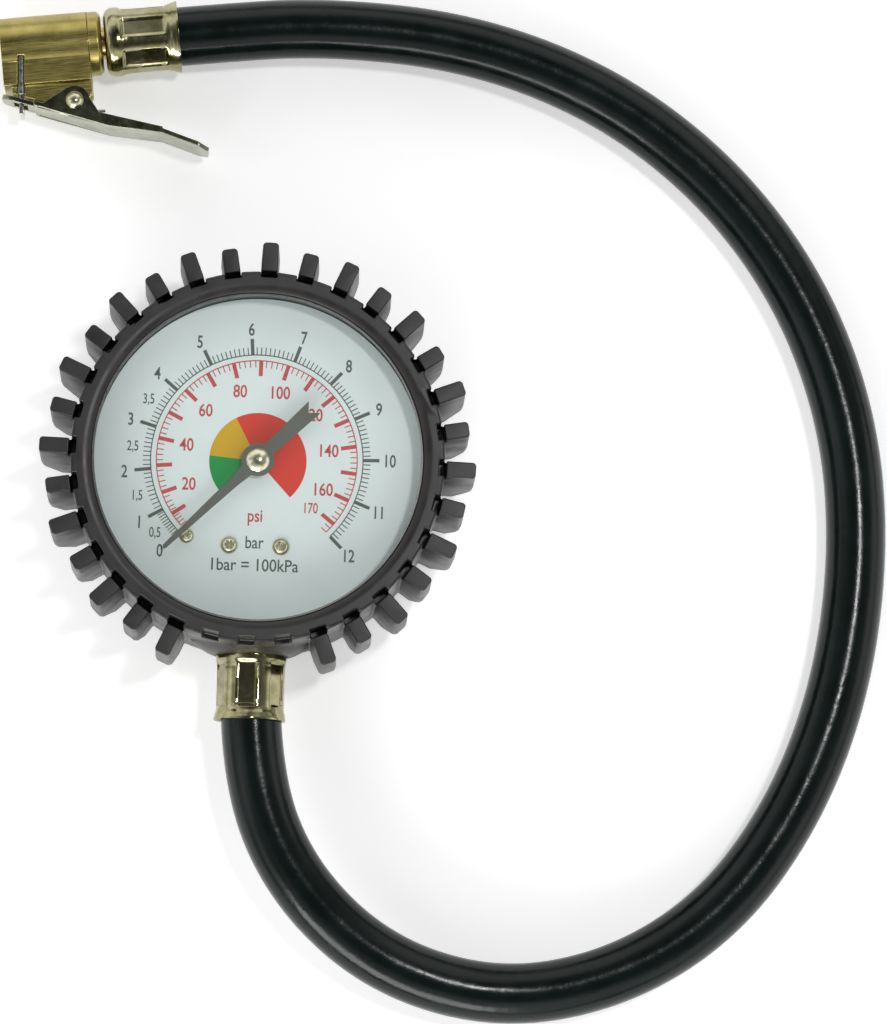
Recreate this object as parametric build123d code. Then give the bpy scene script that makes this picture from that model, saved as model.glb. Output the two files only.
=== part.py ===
from build123d import *
import math
import os

# Tyre pressure gauge: a 63 mm dial gauge in a finned rubber boot, with a hose and a clip-on chuck.
# Millimetres. The gauge lies on its back: the pointer turns about the Z axis, Z = 0 is the boot's
# back face, the stem points along -Y, and the hose and chuck lie on the same surface.

# ---------------------------------------------------------------- driving dimensions: gauge head
DIAL_ANGLE = 270.0          # pointer sweep, degrees
BOOT_R = 36.0               # rubber ring
BOOT_HEIGHT = 32.0
BOOT_OPENING_R = 31.8       # inner edge of the front lip
BOOT_BACK_R = 27.0          # opening in the back
LIP_R = 33.7                # where the front lip's slope ends
FIN_COUNT = 32
FIN_BARE = 3                # fin places left bare over the stem collar
FIN_LONG_R = 42.3
FIN_SHORT_R = 41.3
FIN_BACK_R = 38.8           # fin tip radius at the back
FIN_WIDTH = 3.2
FIN_TOP = 30.0
FIN_PARTING = 15.5
FIN_BOTTOM = 2.0
FIN_DRAFT = 1.0             # degrees
FIN_PHASE = 1.65            # boot's turn on the case, degrees clockwise
FIN_TIP_ROUND = 1.0
NOTCH_DEPTH = 1.2           # radial depth of the notch at each fin's foot
NOTCH_REACH = 0.3           # how far the notch runs into the fin
NOTCH_FLOOR = 25.0
# Outline of the collar round the stem: distance from the gauge's axis, radius round the stem
COLLAR_LINE = [(31.0, 13.4), (33.2, 12.6), (34.6, 11.5), (35.7, 10.0), (36.5, 8.6), (36.9, 7.6)]
COLLAR_HEIGHTS = (1.5, 26.5)    # bottom and top of the collar
COLLAR_HOLE_R = 7.0         # clears the ferrule's shoulder
CASE_R = 33.2
CASE_WALL = 1.2
CASE_BACK = 2.6
CASE_RIM = 27.5
GASKET_TOP = 28.2
WINDOW_TOP = 30.2
BEZEL_TOP = 30.8
BEZEL_R = 34.3
DIAL_Z = 24.0
DIAL_THICK = 0.6
DIAL_R = 31.8
STEM_Z = 14.0
STEM_R = 5.2
CASE_SCREW_XS = (-3.6, 3.6)
CASE_SCREW_Y = -23.0

# ---------------------------------------------------------------- movement
PINION_PITCH_R = 1.5
PINION_TEETH = 10
SECTOR_TEETH = 60           # teeth of the whole wheel that the sector is cut from
SECTOR_PITCH_R = PINION_PITCH_R * SECTOR_TEETH / PINION_TEETH
SECTOR_X = 5.5
SECTOR_Y = -math.sqrt((SECTOR_PITCH_R + PINION_PITCH_R) ** 2 - SECTOR_X ** 2)
GEAR_Z = 16.4
GEAR_THICK = 0.8
SECTOR_TAIL = 3.6           # sector pivot to link pin
MODULE = 2 * PINION_PITCH_R / PINION_TEETH
MESH_ANGLE = math.degrees(math.atan2(-SECTOR_Y, -SECTOR_X))     # from sector pivot to pinion
SECTOR_PIVOT_R = 0.7
ARBOR_R = 0.6
ARBOR_HOLE_R = 0.62
LINK_PIN_R = 0.6
LINK_LENGTH = 18.0
LINK_ANGLE = -5.13          # direction of the link and of the tube tip's travel, degrees
BACK_PLATE_Z = 13.0
FRONT_PLATE_Z = 20.5
PLATE_THICK = 1.0
TUBE_R = 23.5               # coiled tube's mean radius
TUBE_WIDE = 2.4
TUBE_TALL = 9.0
TUBE_WALL = 0.55
TUBE_START = -105.0         # degrees from +X
TUBE_STRAIGHT = 7.5
MOVEMENT_SCREWS = [(-5.0, -11.2), (1.6, -11.2)]
MOVEMENT_SCREW_R = 0.8
PILLARS = [(-6.3, -5.5), (-6.3, 6.3), (6.3, 6.3)]
PILLAR_R = 1.1
SPIRAL_Z = 18.6             # hairspring
SPIRAL_START_R = 1.3
SPIRAL_PITCH = 0.5
SPIRAL_HALF_TURNS = 11

# ---------------------------------------------------------------- dial fittings and pointer
DIAL_FACE = DIAL_Z + DIAL_THICK
DIAL_HOLE_R = 1.3
SCREW_X = 5.0               # dial screws
SCREW_Y = -16.5
SCREW_R = 1.1
SCREW_HEAD_R = 1.7
SCREW_HEAD = 0.95
STOP_PIN_AT = (20.0, -138.4)    # radius and clockwise angle from the dial's top
STOP_PIN_R = 0.6
POINTER_Z = 26.2
POINTER_THICK = 0.5
POINTER_REACH = 25.0
POINTER_TAIL = 15.0
HUB_R = 3.2
CAP_Z = 26.75
CAP_R = 2.3
CAP_HEIGHT = 0.95

# ---------------------------------------------------------------- hose and its end fittings
HOSE_R = 5.9
HOSE_BORE_R = 3.0
FERRULE_LENGTH = 14.8
FERRULE_BORE_R = 5.95
FERRULE_FLAT = 6.3          # half the distance across the crimped flats
CRIMPS = 6
TAIL_THREAD = 5.0
TAIL_R = 3.2
TAIL_BORE_R = 1.25
GAUGE_FERRULE_Y = -34.7
CHUCK_FERRULE_U = 20.6

# Hose centreline, from inside the gauge ferrule to inside the chuck ferrule
HOSE_ROUTE = [
    (0, -36.45, 14), (0, -61, 14), (11.5, -85, 10), (33, -101.5, 6.6), (58.5, -106, 6), (84, -98.5, 6),
    (103.5, -80.5, 6), (114, -55, 6), (119.5, -27, 6), (119.5, 2, 6), (113, 30, 6), (98, 56, 6),
    (75, 75.5, 6), (49.5, 87, 6), (22.5, 91.5, 6.3), (-5.6, 88.9, 7.2), (-31.5, 85.73, 7.2),
]

# ---------------------------------------------------------------- chuck
# Chuck frame: U along the bore from the mouth to the hose, V across it away from the lever, W up.
CHUCK_ORIGIN = (-53.7, 83.0, 7.2)
CHUCK_TURN = 7.0
CHUCK_R = 6.5
CHUCK_LENGTH = 17.4
CHUCK_HALF_WIDTH = 5.5
CHUCK_FOOT = -8.2
BORE_R = 4.1
BORE_DEPTH = 13.5
SEAL_FACE = 11.0
SEAL_R = 4.6
LUG_HALF_WIDTH = 3.6
RIVET_U = 13.7
RIVET_V = -12.1
RIVET_R = 1.25
SHEET = 0.9                 # lever sheet thickness
LEVER_HALF_WIDTH = 5.0
TONGUE_HALF_WIDTH = 3.2
LEVER_LINE = [(-0.7, -10.0), (20.0, -17.9), (30.3, -20.1), (39.0, -24.3)]
CLAW_U = 3.9
CLAW_TOP = -2.4
CLAW_LEAN = 5.0
CLAW_THICK = 0.9
CLAW_SLOT = 1.3
RIVET_HOLE_R = RIVET_R + 0.05
SEAT_R = 3.1                # recess for the valve depressor's flange
SPRING_WIRE_R = 0.3

UP = (Align.CENTER, Align.CENTER, Align.MIN)
chuck_place = Location(CHUCK_ORIGIN, (0, 0, CHUCK_TURN))
gauge_end = Location((0, GAUGE_FERRULE_Y, STEM_Z), (0, 0, -90))
chuck_end = chuck_place * Pos(CHUCK_FERRULE_U, 0, 0)


# ---------------------------------------------------------------- shape helpers
def rod(radius, low, high, x=0.0, y=0.0):
    """Upright cylinder from low to high."""
    return Pos(x, y, low) * Cylinder(radius, high - low, align=UP)


def tube(outer, inner, low, high, x=0.0, y=0.0):
    """Upright hollow cylinder."""
    return rod(outer, low, high, x, y) - rod(inner, low - 1, high + 1, x, y)


def block(x0, x1, y0, y1, z0, z1):
    """Box between two corners."""
    return Pos((x0 + x1) / 2, (y0 + y1) / 2, (z0 + z1) / 2) * Box(x1 - x0, y1 - y0, z1 - z0)


def axial(radius, start, end):
    """Cylinder along X from start to end."""
    return Pos(start, 0, 0) * (Rot(0, 90, 0) * Cylinder(radius, end - start, align=UP))


def across(radius, start, end):
    """Cylinder along -Y at the stem's height, from start to end."""
    return Pos(0, -start, STEM_Z) * (Rot(90, 0, 0) * Cylinder(radius, end - start, align=UP))


def turned(profile):
    """Solid of revolution about X, from (distance along X, radius) points."""
    return revolve(Plane.XY * make_face(Polyline(*profile, close=True)), Axis.X)


def turned_upright(profile):
    """Solid of revolution about Z, from (radius, height) points."""
    return revolve(Plane.XZ * make_face(Polyline(*profile, close=True)), Axis.Z)


def polar(radius, degrees):
    """Point at a radius and an angle from +X."""
    return radius * math.cos(math.radians(degrees)), radius * math.sin(math.radians(degrees))


def clock(radius, degrees):
    """Point at a radius and a clockwise angle from the dial's top."""
    return polar(radius, 90 - degrees)


def dome(radius, height, base, x=0.0, y=0.0):
    """Domed screw or rivet head standing on z = base."""
    sphere_r = (radius ** 2 + height ** 2) / (2 * height)
    ball = Pos(x, y, base + height - sphere_r) * Sphere(sphere_r)
    return ball & rod(radius + 1, base, base + height + 1, x, y)


def recess(size, depth, top, x=0.0, y=0.0):
    """Six-pointed driver recess to cut from a screw head."""
    bar = Box(size, size * 0.28, depth * 2)
    return Pos(x, y, top) * (bar + Rot(0, 0, 60) * bar + Rot(0, 0, 120) * bar)


def strip(line, thickness):
    """Face of a bent sheet: the line and its parallel, thickness to its left."""
    inner = []
    for i, point in enumerate(line):
        here = Vector(*point)
        before = (here - Vector(*line[i - 1])).normalized() if i > 0 else None
        after = (Vector(*line[i + 1]) - here).normalized() if i < len(line) - 1 else None
        normals = [Vector(-d.Y, d.X) for d in (before, after) if d is not None]
        middle = sum(normals[1:], normals[0]).normalized()
        reach = thickness / middle.dot(normals[0])
        inner.append((here.X + middle.X * reach, here.Y + middle.Y * reach))
    return make_face(Polyline(*line, *reversed(inner), close=True))


# ---------------------------------------------------------------- rubber boot
def fin_places():
    """Clockwise angle and tip radius of every fin; the bare places have none."""
    pitch = 360 / FIN_COUNT
    places = []
    for i in range(FIN_COUNT):
        angle = FIN_PHASE + pitch * i
        tip = FIN_LONG_R if i % 2 == 0 else FIN_SHORT_R
        bare = abs(angle - 180) < pitch * FIN_BARE / 2
        places.append((angle, None if bare else tip))
    return places


def fin(tip):
    """One fin along +X, drafted both ways from the mould's parting plane."""
    plan = Pos((BOOT_R - 1 + tip) / 2, 0) * Rectangle(tip - BOOT_R + 1, FIN_WIDTH + 0.4)
    plan = fillet(plan.vertices().group_by(Axis.X)[-1], FIN_TIP_ROUND)
    front = extrude(Plane.XY.offset(FIN_PARTING) * plan, FIN_TOP - FIN_PARTING, taper=FIN_DRAFT)
    back = extrude(Plane.XY.offset(FIN_PARTING) * plan, FIN_BOTTOM - FIN_PARTING, taper=FIN_DRAFT)
    side = Polyline((BOOT_R - 0.7, FIN_BOTTOM), (FIN_BACK_R, FIN_BOTTOM), (tip + 1, FIN_PARTING + 0.5),
                    (tip + 1, FIN_TOP), (BOOT_R - 0.7, FIN_TOP), close=True)
    return (front + back) & extrude(Plane.XZ * make_face(side), FIN_WIDTH, both=True)


def rubber_boot():
    ring = turned_upright([
        (BOOT_BACK_R, 0), (BOOT_R - 0.8, 0), (BOOT_R, 0.8), (BOOT_R, BOOT_HEIGHT - 0.4),
        (BOOT_R - 0.4, BOOT_HEIGHT), (LIP_R, BOOT_HEIGHT), (BOOT_OPENING_R, BEZEL_TOP + 0.2),
        (BOOT_OPENING_R, BEZEL_TOP), (BEZEL_R + 0.05, BEZEL_TOP), (BEZEL_R + 0.05, 22.0),
        (CASE_R + 0.05, 21.2), (CASE_R + 0.05, CASE_BACK), (BOOT_BACK_R, CASE_BACK)])
    collar = turned([(COLLAR_LINE[0][0], 0), *COLLAR_LINE, (COLLAR_LINE[-1][0], 0)])
    collar = Pos(0, 0, STEM_Z) * (Rot(0, 0, -90) * collar)
    collar = collar - rod(BOOT_R - 1, 0, BOOT_HEIGHT)
    collar = collar & block(-15, 15, -40, 0, *COLLAR_HEIGHTS)
    boot = ring + collar
    notch = block(BOOT_R - NOTCH_DEPTH, BOOT_R + NOTCH_REACH, -FIN_WIDTH / 2, FIN_WIDTH / 2,
                  NOTCH_FLOOR, BOOT_HEIGHT + 1)
    fins = {tip: fin(tip) for tip in (FIN_LONG_R, FIN_SHORT_R)}
    for angle, tip in fin_places():
        turn = Rot(0, 0, 90 - angle)
        if tip is not None:
            boot += turn * fins[tip]
        boot -= turn * notch
    return boot - across(COLLAR_HOLE_R, 30, 42)


# ---------------------------------------------------------------- case and dial
def gauge_case():
    inner = CASE_R - CASE_WALL
    shell = turned_upright([
        (0, CASE_BACK), (CASE_R - 0.8, CASE_BACK), (CASE_R, CASE_BACK + 0.8), (CASE_R, CASE_RIM),
        (inner, CASE_RIM), (inner, CASE_BACK + CASE_WALL), (0, CASE_BACK + CASE_WALL)])
    shell -= across(STEM_R + 0.1, 28, 36)
    for x in CASE_SCREW_XS:
        shell -= rod(1.4, 0, 6, x, CASE_SCREW_Y)
    return shell


def bezel_ring():
    return turned_upright([
        (CASE_R + 0.02, 22.4), (BEZEL_R, 22.4), (BEZEL_R, BEZEL_TOP), (BOOT_OPENING_R - 0.4, BEZEL_TOP),
        (BOOT_OPENING_R - 0.4, WINDOW_TOP), (CASE_R + 0.02, WINDOW_TOP)])


def window():
    disc = rod(CASE_R - 0.1, GASKET_TOP, WINDOW_TOP)
    return chamfer(disc.edges().group_by(Axis.Z)[-1], 0.35)


def dial_plate():
    dial = tube(DIAL_R, DIAL_HOLE_R, DIAL_Z, DIAL_FACE)
    for x in (-SCREW_X, SCREW_X):
        dial -= rod(SCREW_R + 0.05, DIAL_Z - 1, DIAL_FACE + 1, x, SCREW_Y)
    return dial - rod(STOP_PIN_R + 0.2, DIAL_Z - 1, DIAL_FACE + 1, *clock(*STOP_PIN_AT))


def dial_screws():
    screws = []
    for x in (-SCREW_X, SCREW_X):
        head = dome(SCREW_HEAD_R, SCREW_HEAD, DIAL_FACE, x, SCREW_Y)
        head -= recess(1.9, 0.5, DIAL_FACE + SCREW_HEAD, x, SCREW_Y)
        screws.append(head + rod(SCREW_R, DIAL_Z - 5, DIAL_FACE, x, SCREW_Y))
    return screws


def stop_pin():
    """Headed pin through the dial, with a nib as high as the pointer's plate."""
    x, y = clock(*STOP_PIN_AT)
    nib = rod(STOP_PIN_R, DIAL_FACE, DIAL_FACE + 2.5, x, y)
    shank = rod(STOP_PIN_R + 0.15, DIAL_Z - 0.6, DIAL_FACE, x, y)
    return dome(1.45, 0.8, DIAL_FACE, x, y) + nib + shank


# ---------------------------------------------------------------- pointer
def pointer():
    """Pointer plate at rest, lying towards the dial's zero, with its boss below."""
    arm = make_face(Polyline((0, 1.55), (6, 0.98), (POINTER_REACH - 0.4, 0.42), (POINTER_REACH, 0),
                             (POINTER_REACH - 0.4, -0.42), (6, -0.98), (0, -1.55), close=True))
    tail = make_face(Polyline((0, 1.15), (-POINTER_TAIL, 1.62), (1.6 - POINTER_TAIL, 0),
                              (-POINTER_TAIL, -1.62), (0, -1.15), close=True))
    plate = extrude(arm + tail + Circle(HUB_R), POINTER_THICK) - rod(ARBOR_HOLE_R, -1, 2)
    turn = Rot(0, 0, 90 + DIAL_ANGLE / 2)
    boss = tube(1.6, ARBOR_HOLE_R, -1.0, 0)
    return Pos(0, 0, POINTER_Z) * (turn * (plate + boss))


def pointer_cap():
    """Domed cap on the arbor's end, with a small centre mark."""
    return dome(CAP_R, CAP_HEIGHT, CAP_Z) - rod(ARBOR_HOLE_R, 20, CAP_Z + 0.15) - rod(0.35, CAP_Z + 0.75, 28)


def gear_face(pitch_r, teeth, first, last, module):
    """Plan of a gear or gear sector, with teeth numbered first to last, tooth 0 on +X."""
    root = pitch_r - 1.2 * module
    crest = pitch_r + 0.75 * module
    step = 360 / teeth
    whole = last - first + 1 >= teeth
    tooth = make_face(Polyline(polar(root - 0.3, -step * 0.24), polar(root, -step * 0.24),
                               polar(crest, -step * 0.09), polar(crest, step * 0.09),
                               polar(root, step * 0.24), polar(root - 0.3, step * 0.24), close=True))
    if whole:
        body = Circle(root)
    else:
        arc = [polar(root, step * (first - 0.5)), polar(root, step * (first + last) / 2),
               polar(root, step * (last + 0.5))]
        inner = [polar(root - 2.2, step * (last + 0.5)), polar(root - 2.2, step * (first + last) / 2),
                 polar(root - 2.2, step * (first - 0.5))]
        body = make_face([ThreePointArc(*arc), Line(arc[2], inner[0]), ThreePointArc(*inner),
                          Line(inner[2], arc[0])])
    for i in range(first, last + 1):
        body += Rot(0, 0, step * i) * tooth
    return body


def pinion_arbor():
    """Arbor with its pinion, which has a tooth gap facing the sector's middle tooth."""
    gear = extrude(gear_face(PINION_PITCH_R, PINION_TEETH, 0, PINION_TEETH - 1, MODULE), 2.0)
    facing = MESH_ANGLE + 180 + 180 / PINION_TEETH
    shaft = rod(ARBOR_R, BACK_PLATE_Z - 0.2, CAP_Z + 0.1)
    return shaft + Pos(0, 0, GEAR_Z - 0.6) * (Rot(0, 0, facing) * gear)


# ---------------------------------------------------------------- sector, link and tube tip
def link_pin_place():
    """Sector's link pin at rest: half the sector's sweep before the square-on place."""
    sweep = DIAL_ANGLE * PINION_TEETH / SECTOR_TEETH
    x, y = polar(SECTOR_TAIL, LINK_ANGLE - 90 - sweep / 2)
    return SECTOR_X + x, SECTOR_Y + y


def tip_pin_place():
    x, y = link_pin_place()
    dx, dy = polar(LINK_LENGTH, LINK_ANGLE)
    return x + dx, y + dy


def sector_gear():
    """Toothed sector with its tail; the teeth run clockwise from the mesh point."""
    face = gear_face(SECTOR_PITCH_R, SECTOR_TEETH, -9, 1, MODULE)
    arms = Circle(1.7)
    for tooth in (-8, -4, 0):
        arm = make_face(Polyline((0, 0.55), (SECTOR_PITCH_R - 1.5, 0.45), (SECTOR_PITCH_R - 1.5, -0.45),
                                 (0, -0.55), close=True))
        arms += Rot(0, 0, 360 / SECTOR_TEETH * tooth) * arm
    wheel = Rot(0, 0, MESH_ANGLE) * (face + arms)
    pin_x, pin_y = link_pin_place()
    reach = Vector(pin_x - SECTOR_X, pin_y - SECTOR_Y)
    tail = Rot(0, 0, math.degrees(math.atan2(reach.Y, reach.X))) * (
        Pos(SECTOR_TAIL / 2, 0) * Rectangle(SECTOR_TAIL, 1.6) + Pos(SECTOR_TAIL, 0) * Circle(1.1))
    plate = extrude(wheel + tail, GEAR_THICK) - rod(SECTOR_PIVOT_R, -1, 2)
    plate = Pos(SECTOR_X, SECTOR_Y, GEAR_Z) * plate
    return plate - rod(LINK_PIN_R, GEAR_Z - 1, GEAR_Z + 2, pin_x, pin_y)


def sector_arbor():
    return rod(SECTOR_PIVOT_R, BACK_PLATE_Z + 0.1, FRONT_PLATE_Z + 0.8, SECTOR_X, SECTOR_Y)


def sector_pin():
    x, y = link_pin_place()
    return rod(LINK_PIN_R, GEAR_Z, GEAR_Z + 1.9, x, y)


def link():
    """Flat link; its hole on the sector pin is wide, the one on the tube tip's pin is close."""
    x0, y0 = link_pin_place()
    bar = Pos(LINK_LENGTH / 2, 0) * Rectangle(LINK_LENGTH, 1.5) + Circle(1.6)
    bar += Pos(LINK_LENGTH, 0) * Circle(1.2)
    plate = extrude(bar - Circle(LINK_PIN_R + 0.4) - Pos(LINK_LENGTH, 0) * Circle(LINK_PIN_R + 0.02), 0.7)
    return Pos(x0, y0, GEAR_Z + 1.0) * (Rot(0, 0, LINK_ANGLE) * plate)


def tip_pin():
    x, y = tip_pin_place()
    return rod(LINK_PIN_R, GEAR_Z + 0.8, GEAR_Z + 2.0, x, y)


def tube_end():
    """End of the coiled tube, and the way that it points there."""
    x, y = polar(TUBE_R, LINK_ANGLE)
    dx, dy = polar(1.0, LINK_ANGLE - 90)
    return x + dx * TUBE_STRAIGHT, y + dy * TUBE_STRAIGHT


def tube_tip():
    """Brass end-piece closing the coiled tube and holding the link's pin."""
    x, y = tube_end()
    cap = block(-1.4, 1.6, -5.95, -0.05, STEM_Z - TUBE_TALL / 2, GEAR_Z + 0.8)
    cap = fillet(cap.edges().filter_by(Axis.Z), 0.4)
    pin_x, pin_y = tip_pin_place()
    return Pos(x, y, 0) * (Rot(0, 0, LINK_ANGLE) * cap) - rod(LINK_PIN_R, 16.0, 18.0, pin_x, pin_y)


def tube_section(wide, tall):
    return RectangleRounded(wide, tall, wide / 2 - 0.05)


def tube_solid(wide, tall):
    """Coiled tube's envelope: an arc from the socket block, then a short straight end."""
    start = Plane(origin=(*polar(TUBE_R, TUBE_START), STEM_Z), x_dir=(*polar(1, TUBE_START), 0),
                  z_dir=(*polar(1, TUBE_START - 90), 0))
    arc = revolve(start * tube_section(wide, tall), Axis.Z, -(360 + TUBE_START - LINK_ANGLE))
    end = Plane(origin=(*polar(TUBE_R, LINK_ANGLE), STEM_Z), x_dir=(*polar(1, LINK_ANGLE), 0),
                z_dir=(*polar(1, LINK_ANGLE - 90), 0))
    return arc + extrude(end * tube_section(wide, tall), TUBE_STRAIGHT)


def bourdon_tube():
    bore = tube_solid(TUBE_WIDE - 2 * TUBE_WALL, TUBE_TALL - 2 * TUBE_WALL)
    return tube_solid(TUBE_WIDE, TUBE_TALL) - bore


# ---------------------------------------------------------------- socket block and movement frame
def socket_block():
    """Brass socket: stem, block that holds the tube, shelf for the movement, posts for the dial."""
    body = block(-7.5, 7.5, -29.5, -21, 8, 20) + block(-7.5, 7.5, -21.5, -9, 8, BACK_PLATE_Z)
    body += across(STEM_R, 29, -GAUGE_FERRULE_Y)
    for x in (-SCREW_X, SCREW_X):
        body += rod(2.3, 10, DIAL_Z, x, SCREW_Y)
        body -= rod(SCREW_R, DIAL_Z - 5, DIAL_Z + 1, x, SCREW_Y)
    body -= tube_solid(TUBE_WIDE, TUBE_TALL)
    body -= across(TAIL_BORE_R, 22, 42)
    body -= across(TAIL_R, 29.6, 39.6)
    body -= Pos(-5.4, -22.9, STEM_Z) * axial(0.8, 0, 5.6)
    for x in CASE_SCREW_XS:
        body -= rod(1.2, 7, 13, x, CASE_SCREW_Y)
    for x, y in MOVEMENT_SCREWS:
        body -= rod(MOVEMENT_SCREW_R, 9.8, 14, x, y)
    return body


def restrictor_screw():
    """Orifice screw at the inner end of the stem's bore."""
    return across(TAIL_BORE_R, 26.2, 29.2) - across(0.3, 26, 30)


def movement_plate(low, bottom):
    plate = fillet((Pos(0, (bottom + 8) / 2) * Rectangle(16, 8 - bottom)).vertices(), 1.5)
    body = extrude(Plane.XY.offset(low) * plate, PLATE_THICK) - rod(ARBOR_R + 0.05, low - 1, low + 3)
    body -= rod(SECTOR_PIVOT_R + 0.05, low - 1, low + 3, SECTOR_X, SECTOR_Y)
    return body


def movement_back_plate():
    plate = movement_plate(BACK_PLATE_Z, -13.4)
    for x, y in MOVEMENT_SCREWS:
        plate -= rod(MOVEMENT_SCREW_R + 0.05, 10, 16, x, y)
    return plate


def movement_front_plate():
    return movement_plate(FRONT_PLATE_Z, -10.9)


def movement_pillars():
    return [rod(PILLAR_R, BACK_PLATE_Z + PLATE_THICK, FRONT_PLATE_Z, x, y) for x, y in PILLARS]


def movement_screws():
    """Slotted screws that hold the back plate to the socket block."""
    seat = BACK_PLATE_Z + PLATE_THICK
    screws = []
    for x, y in MOVEMENT_SCREWS:
        slot = block(x - 2, x + 2, y - 0.2, y + 0.2, seat + 0.4, seat + 2)
        head = rod(1.5, seat, seat + 0.8, x, y) - slot
        screws.append(head + rod(MOVEMENT_SCREW_R, 9.8, seat, x, y))
    return screws


def case_screws():
    screws = []
    for x in CASE_SCREW_XS:
        slot = block(x - 3, x + 3, CASE_SCREW_Y - 0.35, CASE_SCREW_Y + 0.35, 0, 1.7)
        head = rod(2.5, 1.0, CASE_BACK, x, CASE_SCREW_Y) - slot
        screws.append(head + rod(1.2, CASE_BACK, 12.5, x, CASE_SCREW_Y))
    return screws


def hairspring():
    """Flat spiral of half turns around the arbor."""
    face = None
    for half in range(SPIRAL_HALF_TURNS):
        radius = SPIRAL_START_R + SPIRAL_PITCH / 2 * half
        centre = -SPIRAL_PITCH / 2 * (half % 2)
        side = -1 if half % 2 else 1
        ring = Circle(radius + 0.06) - Circle(radius - 0.06)
        arc = Pos(centre, 0) * (ring & Pos(0, side * 10) * Rectangle(40, 20))
        face = arc if face is None else face + arc
    return Pos(0, 0, SPIRAL_Z) * extrude(face, 0.5)


# ---------------------------------------------------------------- hose and its fittings
def hose_route():
    points = [Vector(*p) for p in HOSE_ROUTE]
    radii = []
    for before, here, after in zip(points, points[1:], points[2:]):
        turn = (here - before).get_angle(after - here)
        run = min((here - before).length, (after - here).length)
        radii.append(0.45 * run / math.tan(math.radians(turn / 2)))
    return FilletPolyline(*points, radius=radii), radii


def hose():
    path, radii = hose_route()
    start = Plane(origin=path @ 0, z_dir=path % 0)
    outer = sweep(start * Circle(HOSE_R), path)
    bore = sweep(start * Circle(HOSE_BORE_R), path)
    body = outer - bore
    section = math.pi * (HOSE_R ** 2 - HOSE_BORE_R ** 2)
    print("hose length", round(path.length, 1), "radii", [round(r, 1) for r in radii])
    print("hose volume over section times length", round(body.volume / (section * path.length), 4))
    return body


def ferrule():
    """Crimped ferrule along X: closed end at 0, flared mouth at its length."""
    shell = turned([
        (0, 3.3), (0, 5.4), (0.45, 6.35), (1.3, 6.85), (2.9, 6.95), (3.3, 6.8), (12.0, 6.8), (12.6, 6.9),
        (13.8, 6.95), (14.5, 7.15), (FERRULE_LENGTH, 7.1), (14.3, 6.5), (13.4, FERRULE_BORE_R),
        (0.9, FERRULE_BORE_R), (0.9, 3.3)])
    panel = block(3.9, 11.6, -5, 5, FERRULE_FLAT, 9)
    for k in range(CRIMPS):
        shell -= Rot(360 / CRIMPS * k, 0, 0) * panel
    return shell


def hose_tail():
    """Barbed tail along X, threaded end at negative X, with a bore right through."""
    profile = [(-TAIL_THREAD, TAIL_BORE_R), (-TAIL_THREAD, TAIL_R - 0.2), (-TAIL_THREAD + 0.2, TAIL_R),
               (0.95, TAIL_R), (0.95, 4.8), (1.7, 4.8), (1.7, 2.6)]
    barb = 2.9
    for k in range(4):
        start = 1.9 + barb * k
        profile += [(start, 2.55), (start + 0.3, 2.95), (start + barb - 0.2, 2.6)]
    profile += [(13.5, 2.5), (13.5, TAIL_BORE_R)]
    return turned(profile)


# ---------------------------------------------------------------- chuck
def claw_frame():
    return Location((CLAW_U, CLAW_TOP, 0), (0, 0, -CLAW_LEAN))


def chuck_body():
    body = axial(CHUCK_R, 0, CHUCK_LENGTH)
    body += block(0, CHUCK_LENGTH, CHUCK_FOOT, 0, -CHUCK_HALF_WIDTH, CHUCK_HALF_WIDTH)
    body += turned([(CHUCK_LENGTH - 1, 0), (CHUCK_LENGTH - 1, 6.4), (19.3, 6.4), (20.0, 5.6), (20.0, 0)])
    lug = make_face(Polyline((1.5, -8.0), (1.5, -9.45), (8.5, -12.0), (12.5, -13.85), (13.9, -14.15),
                             (15.3, -13.5), (17.4, -10.5), (17.4, -8.0), close=True))
    body += extrude(lug, LUG_HALF_WIDTH, both=True)
    body -= turned([(-1, 0), (-1, BORE_R + 0.4), (0, BORE_R + 0.4), (0.4, BORE_R), (SEAL_FACE, BORE_R),
                    (SEAL_FACE, SEAL_R), (BORE_DEPTH, SEAL_R), (BORE_DEPTH, SEAT_R), (14.4, SEAT_R),
                    (14.4, 1.8), (15.0, 1.8), (15.0, TAIL_R), (21, TAIL_R), (21, 0)])
    body -= claw_frame() * block(-CLAW_SLOT / 2, CLAW_SLOT / 2, -20, 0, -8, 8)
    body -= Pos(RIVET_U, RIVET_V, 0) * Cylinder(RIVET_HOLE_R, 20)
    body -= block(9.0, 21.0, -20, -9.6, -1.9, 1.9)
    return body


def chuck_seal():
    return axial(SEAL_R - 0.02, SEAL_FACE, BORE_DEPTH) - axial(1.6, SEAL_FACE - 1, BORE_DEPTH + 1)


def valve_depressor():
    """Pin that opens the tyre valve, on a flange with three air holes."""
    pin = turned([(SEAL_FACE + 0.05, 0), (SEAL_FACE + 0.05, 0.5), (SEAL_FACE + 0.35, 0.8), (BORE_DEPTH, 0.8),
                  (BORE_DEPTH, SEAT_R - 0.05), (14.3, SEAT_R - 0.05), (14.3, 0)])
    for k in range(3):
        pin -= Rot(120 * k, 0, 0) * (Pos(0, 0, 1.5) * axial(0.5, 13, 15))
    return pin


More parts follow.
